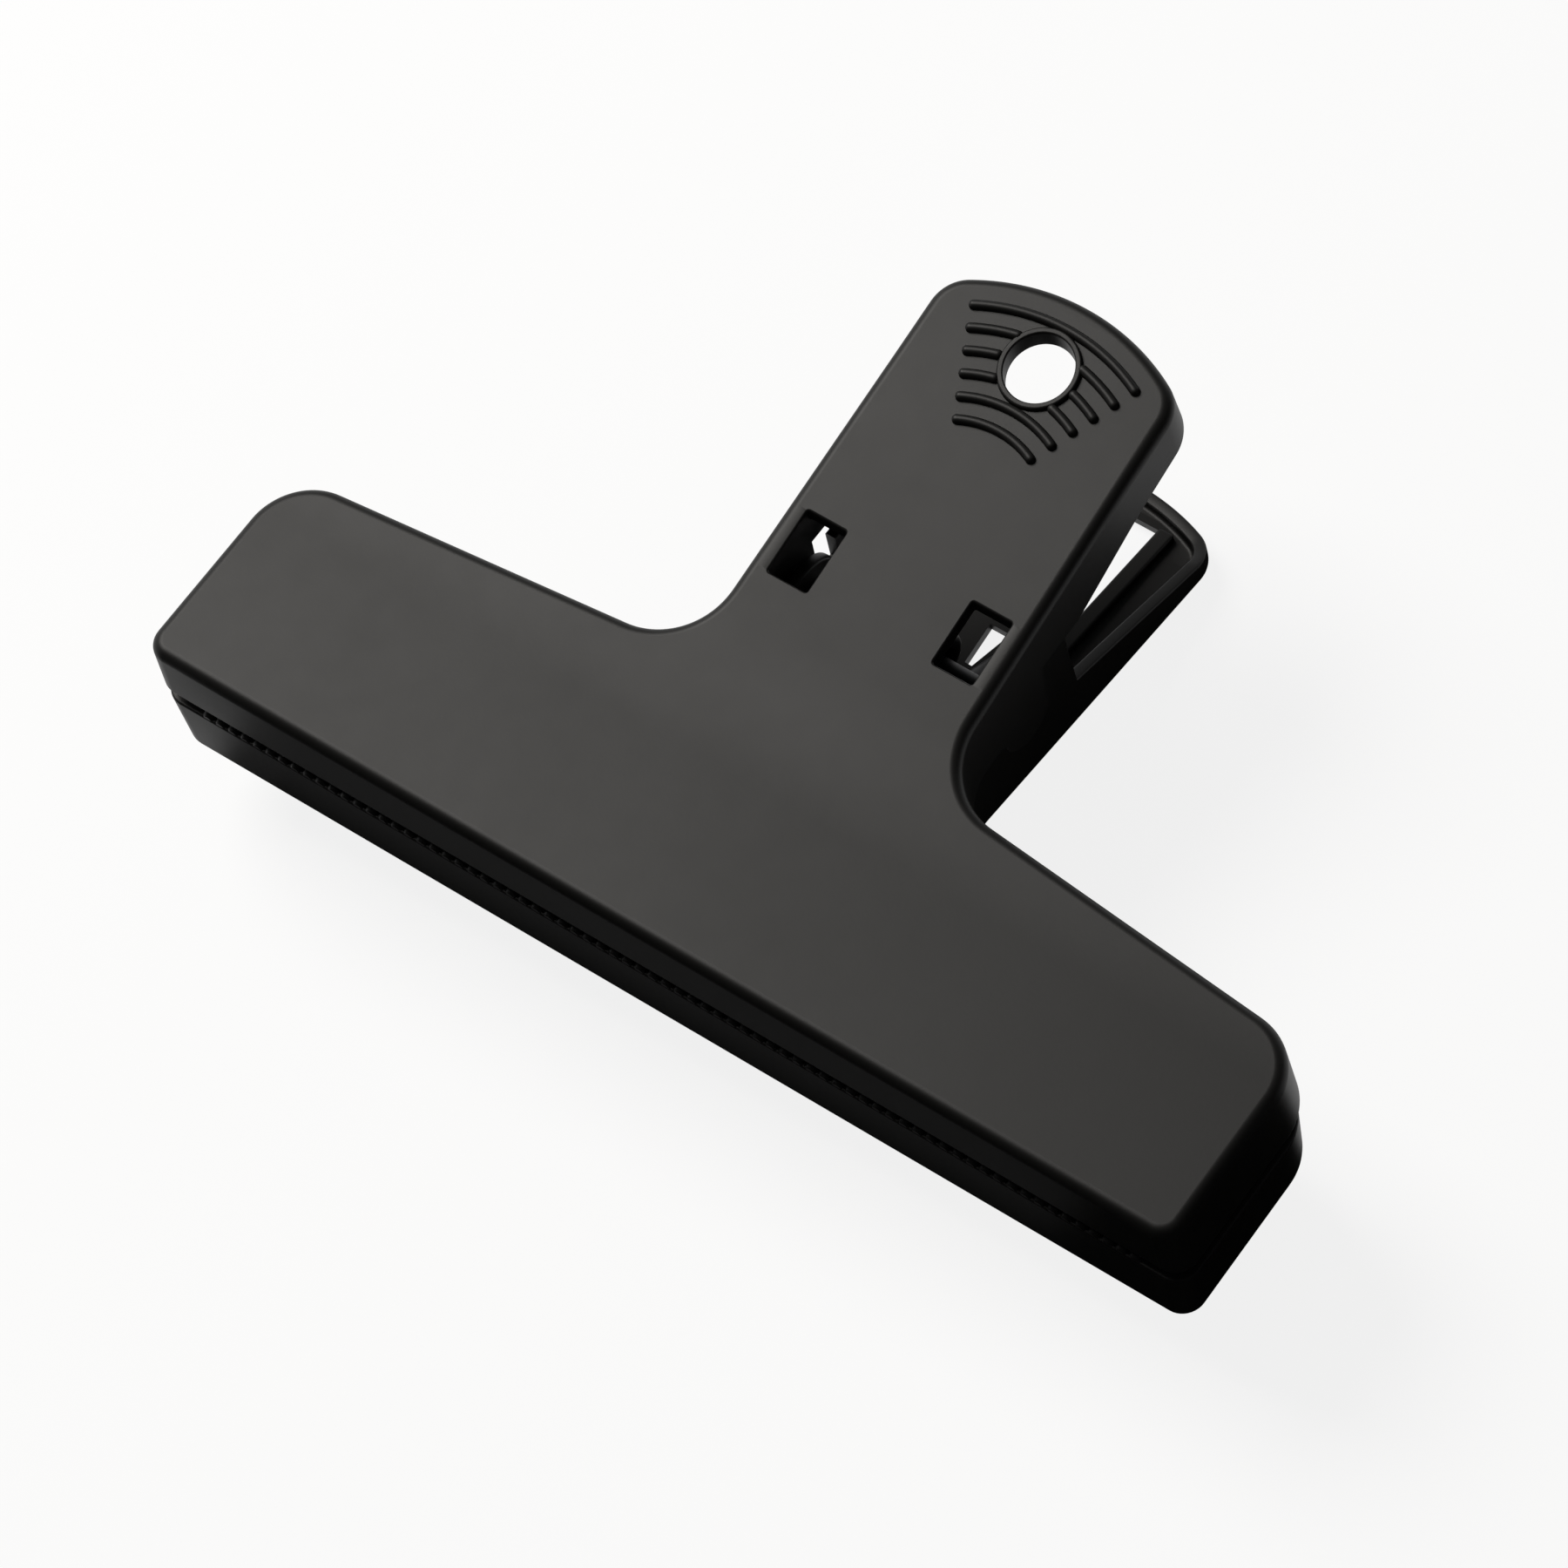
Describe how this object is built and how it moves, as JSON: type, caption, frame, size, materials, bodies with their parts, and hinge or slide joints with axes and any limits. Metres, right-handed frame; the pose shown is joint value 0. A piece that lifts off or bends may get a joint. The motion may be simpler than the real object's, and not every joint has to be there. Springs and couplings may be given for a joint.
{
  "type": "magnetic clip",
  "caption": "Wide-jaw sprung clip with a T-shaped upper and lower lever, toothed lip, hanging hole and a bar magnet on its back.",
  "frame": {"origin": "middle of the bounding box's bottom: the plane that the magnet's face and the lower handle's tip rest on", "axes": "+X along the jaw, +Y from the jaw towards the handle tips, +Z away from the magnet's face"},
  "size_m": [0.1022, 0.0622, 0.0295],
  "materials": {
    "black_plastic": "satin moulded, fine grain",
    "pin_steel": "blackened drawn steel",
    "spring_steel": "phosphated spring wire",
    "ferrite": "ground sintered ferrite"
  },
  "bodies": {
    "lower": {"lower_lever": "black_plastic", "hinge_pin": "pin_steel", "torsion_spring": "spring_steel", "magnet_bar": "ferrite"},
    "upper": {"upper_lever": "black_plastic"}
  },
  "joints": [
    {"name": "jaw_hinge", "type": "hinge", "parent": "lower", "child": "upper", "pos_m": [0, 0.0029, 0.01543], "axis": [-1, 0, 0], "range_deg": [0, 42], "stiffness_Nm_per_rad": 0.4, "springref_deg": -28.65, "deforming": ["torsion_spring"]}
  ]
}
